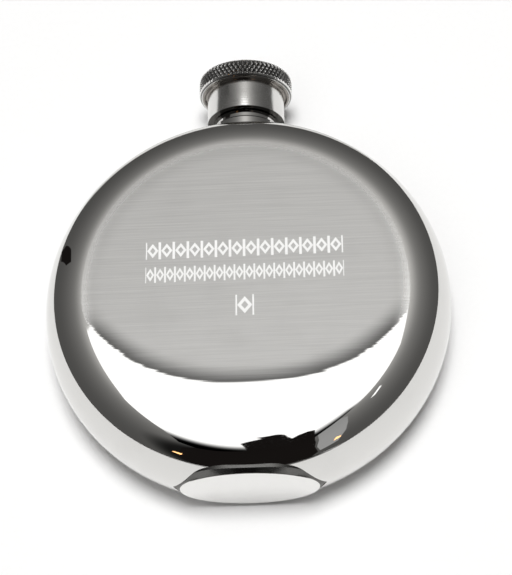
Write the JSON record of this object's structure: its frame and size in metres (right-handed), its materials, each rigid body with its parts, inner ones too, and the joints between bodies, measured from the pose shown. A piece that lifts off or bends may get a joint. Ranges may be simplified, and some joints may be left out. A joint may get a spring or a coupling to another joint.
{
  "type": "hip flask",
  "caption": "Round pocket flask of polished steel: bulged side band, oval standing foot, short threaded neck and a knurled screw cap that turns and lifts off.",
  "frame": {"origin": "the middle of the round back face, on the surface that the flask lies on", "axes": "+Z out of the front face, +Y out through the neck, +X to the right seen from the front"},
  "size_m": [0.095, 0.1066, 0.024],
  "materials": {
    "polished_steel": "mirror-polished stainless steel, brushed satin on the middle of the front face",
    "satin_steel": "turned and lightly brushed stainless steel",
    "knurled_steel": "diamond-knurled stainless steel with polished edges",
    "seal_rubber": "translucent white food-grade silicone"
  },
  "bodies": {
    "flask": {"front_shell": "polished_steel", "back_shell": "polished_steel", "side_band": "polished_steel", "foot_plate": "polished_steel", "neck_collar": "polished_steel", "neck_spout": "satin_steel"},
    "seal": {"cap_seal": "seal_rubber"},
    "cap": {"cap_sleeve": "satin_steel", "cap_flange": "polished_steel", "cap_head": "knurled_steel"}
  },
  "joints": [
    {"name": "cap_lift", "type": "slide", "parent": "flask", "child": "seal", "axis": [0, 1, 0], "range_m": [0, 0.0097]},
    {"name": "cap_turn", "type": "hinge", "parent": "seal", "child": "cap", "pos_m": [0, 0.0585, 0.012], "axis": [0, 1, 0], "range_deg": [0, 1440]}
  ],
  "couplings": [
    {"joint": "cap_lift", "follows": "cap_turn", "m_per_rad": 0.00038197}
  ]
}
